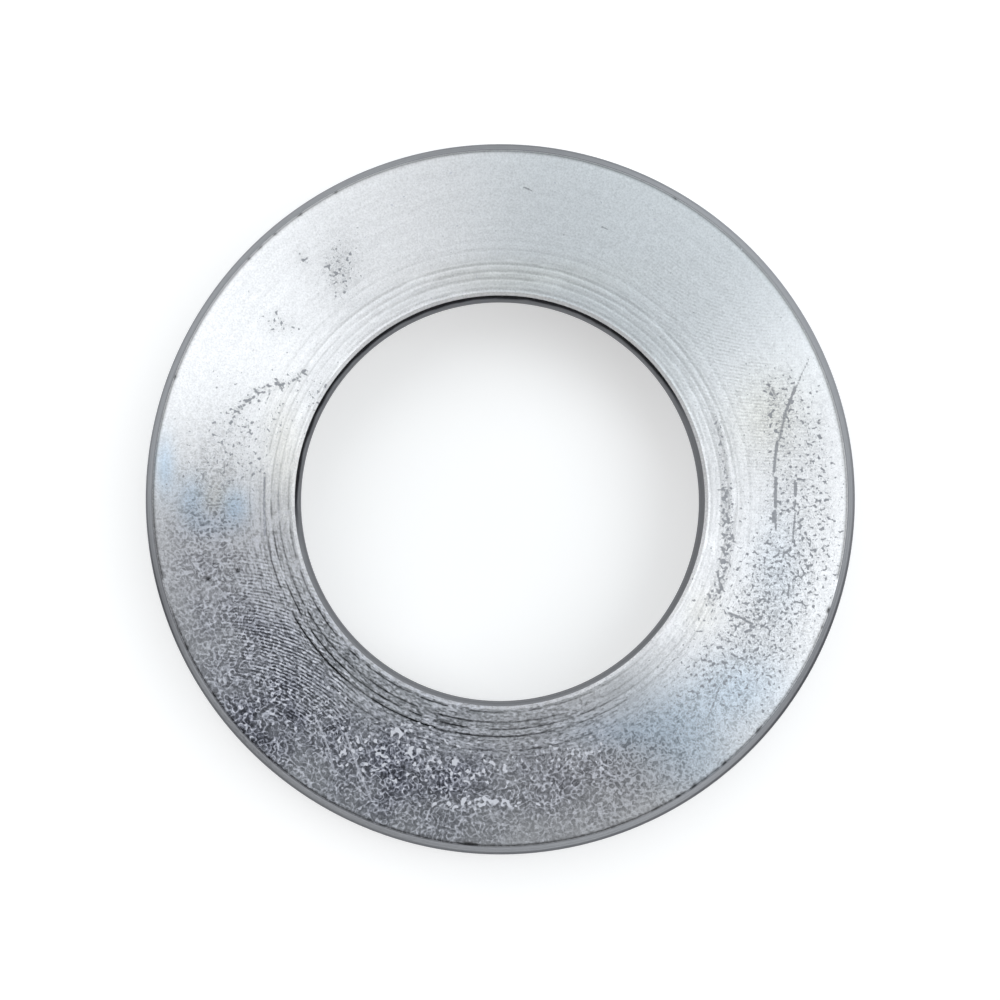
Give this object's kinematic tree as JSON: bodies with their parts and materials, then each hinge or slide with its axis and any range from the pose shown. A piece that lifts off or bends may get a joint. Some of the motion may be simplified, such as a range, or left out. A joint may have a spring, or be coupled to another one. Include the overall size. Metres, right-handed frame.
{
  "type": "retention cup",
  "caption": "Turned steel retention cup standing mouth down: flat face with a large bore, leaning shoulder, upright skirt and a plain round pocket.",
  "frame": {"origin": "centre of the mouth, on the surface the cup stands on", "axes": "+Z along the bore axis, out of the flat face; the cup stands mouth down"},
  "size_m": [0.064, 0.064, 0.01],
  "materials": {
    "turned_steel": "fine turned rings, cold grey steel with dull specks, ring marks by the bore and light scratches"
  },
  "bodies": {
    "root": {"retention_cup": "turned_steel"}
  },
  "joints": []
}
